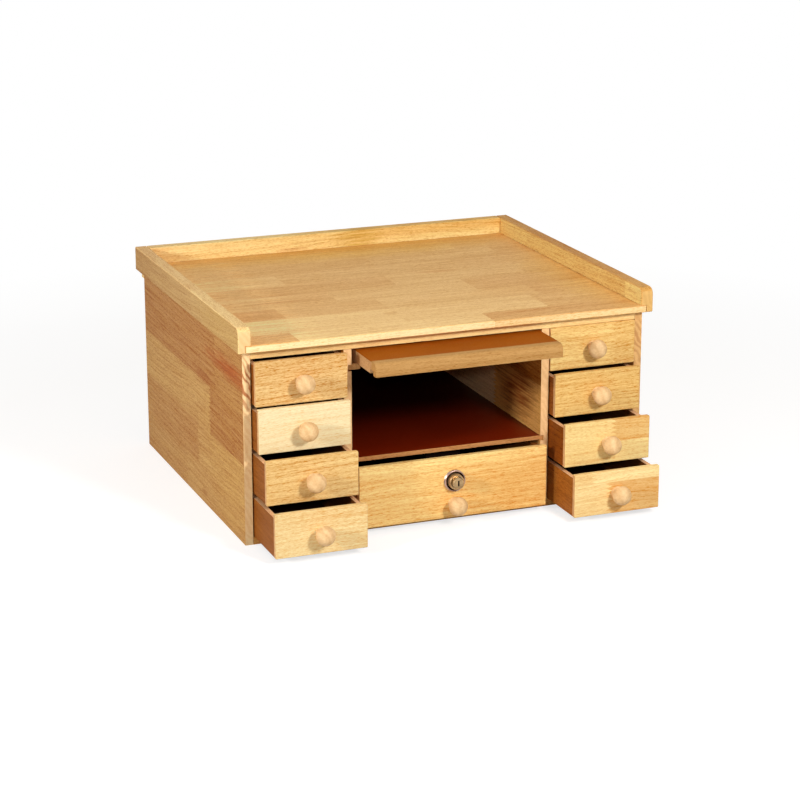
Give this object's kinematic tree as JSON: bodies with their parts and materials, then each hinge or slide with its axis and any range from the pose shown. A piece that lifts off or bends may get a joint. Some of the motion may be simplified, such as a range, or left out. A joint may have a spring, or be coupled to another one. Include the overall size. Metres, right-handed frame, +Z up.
{
  "type": "tabletop watchmaker's bench",
  "caption": "Small wooden bench top with a galleried work surface, two banks of small drawers with turned knobs, a pull-out tray, an open shelf and a lockable centre drawer.",
  "frame": {"origin": "middle of the case's footprint, on the table", "axes": "+X to the right as seen from the front, +Y to the back, +Z up"},
  "size_m": [0.48, 0.4854, 0.243],
  "materials": {
    "panel_wood": "finger-jointed light hardwood boards, clear satin lacquer",
    "worktop_wood": "edge-glued light hardwood staves, clear satin lacquer",
    "front_wood": "light hardwood, clear satin lacquer",
    "inner_wood": "light hardwood strips, thin lacquer",
    "knob_wood": "turned pale hardwood, clear lacquer",
    "brown_sheet": "orange-brown faced hardboard",
    "brown_board": "dark red-brown hardboard",
    "chrome": "polished plating",
    "nickel": "bright nickel plating",
    "zinc": "dull zinc plating"
  },
  "bodies": {
    "case": {"left_side": "panel_wood", "right_side": "panel_wood", "left_partition": "panel_wood", "right_partition": "panel_wood", "bottom_panel": "panel_wood", "case_top": "panel_wood", "back_panel": "brown_board", "centre_shelf": "brown_board", "lock_strike": "inner_wood", "tray_runner_left": "inner_wood", "tray_runner_right": "inner_wood", "worktop": "worktop_wood", "left_rail": "worktop_wood", "right_rail": "worktop_wood", "back_rail": "worktop_wood"},
    "drawer_left_1": {"drawer_left_1_front": "front_wood", "drawer_left_1_box": "inner_wood", "drawer_left_1_bottom": "brown_board", "drawer_left_1_knob": "knob_wood"},
    "drawer_left_2": {"drawer_left_2_front": "front_wood", "drawer_left_2_box": "inner_wood", "drawer_left_2_bottom": "brown_board", "drawer_left_2_knob": "knob_wood"},
    "drawer_left_3": {"drawer_left_3_front": "front_wood", "drawer_left_3_box": "inner_wood", "drawer_left_3_bottom": "brown_board", "drawer_left_3_knob": "knob_wood"},
    "drawer_left_4": {"drawer_left_4_front": "front_wood", "drawer_left_4_box": "inner_wood", "drawer_left_4_bottom": "brown_board", "drawer_left_4_knob": "knob_wood"},
    "drawer_right_1": {"drawer_right_1_front": "front_wood", "drawer_right_1_box": "inner_wood", "drawer_right_1_bottom": "brown_board", "drawer_right_1_knob": "knob_wood"},
    "drawer_right_2": {"drawer_right_2_front": "front_wood", "drawer_right_2_box": "inner_wood", "drawer_right_2_bottom": "brown_board", "drawer_right_2_knob": "knob_wood"},
    "drawer_right_3": {"drawer_right_3_front": "front_wood", "drawer_right_3_box": "inner_wood", "drawer_right_3_bottom": "brown_board", "drawer_right_3_knob": "knob_wood"},
    "drawer_right_4": {"drawer_right_4_front": "front_wood", "drawer_right_4_box": "inner_wood", "drawer_right_4_bottom": "brown_board", "drawer_right_4_knob": "knob_wood"},
    "centre_drawer": {"centre_drawer_front": "front_wood", "centre_drawer_left_side": "inner_wood", "centre_drawer_right_side": "inner_wood", "centre_drawer_back": "inner_wood", "centre_drawer_bottom": "brown_board", "centre_drawer_knob": "knob_wood", "lock_body": "chrome", "lock_nut": "zinc"},
    "lock": {"lock_plug": "nickel", "lock_cam": "zinc"},
    "tray": {"tray_board": "panel_wood", "tray_sheet": "brown_sheet", "tray_nosing": "front_wood"}
  },
  "joints": [
    {"name": "drawer_left_1_slide", "type": "slide", "parent": "case", "child": "drawer_left_1", "axis": [0, -1, 0], "range_m": [-0.0146, 0.2454]},
    {"name": "drawer_left_2_slide", "type": "slide", "parent": "case", "child": "drawer_left_2", "axis": [0, -1, 0], "range_m": [-0.0231, 0.2369]},
    {"name": "drawer_left_3_slide", "type": "slide", "parent": "case", "child": "drawer_left_3", "axis": [0, -1, 0], "range_m": [-0.0462, 0.2138]},
    {"name": "drawer_left_4_slide", "type": "slide", "parent": "case", "child": "drawer_left_4", "axis": [0, -1, 0], "range_m": [-0.0734, 0.1866]},
    {"name": "drawer_right_1_slide", "type": "slide", "parent": "case", "child": "drawer_right_1", "axis": [0, -1, 0], "range_m": [-0.0024, 0.2576]},
    {"name": "drawer_right_2_slide", "type": "slide", "parent": "case", "child": "drawer_right_2", "axis": [0, -1, 0], "range_m": [-0.0167, 0.2433]},
    {"name": "drawer_right_3_slide", "type": "slide", "parent": "case", "child": "drawer_right_3", "axis": [0, -1, 0], "range_m": [-0.0442, 0.2158]},
    {"name": "drawer_right_4_slide", "type": "slide", "parent": "case", "child": "drawer_right_4", "axis": [0, -1, 0], "range_m": [-0.0707, 0.1893]},
    {"name": "centre_drawer_slide", "type": "slide", "parent": "case", "child": "centre_drawer", "axis": [0, -1, 0], "range_m": [-0.0193, 0.2407]},
    {"name": "lock_turn", "type": "hinge", "parent": "centre_drawer", "child": "lock", "pos_m": [0, -0.2098, 0.051], "axis": [0, -1, 0], "range_deg": [0, 90]},
    {"name": "tray_slide", "type": "slide", "parent": "case", "child": "tray", "axis": [0, -1, 0], "range_m": [-0.057, 0.173]}
  ]
}
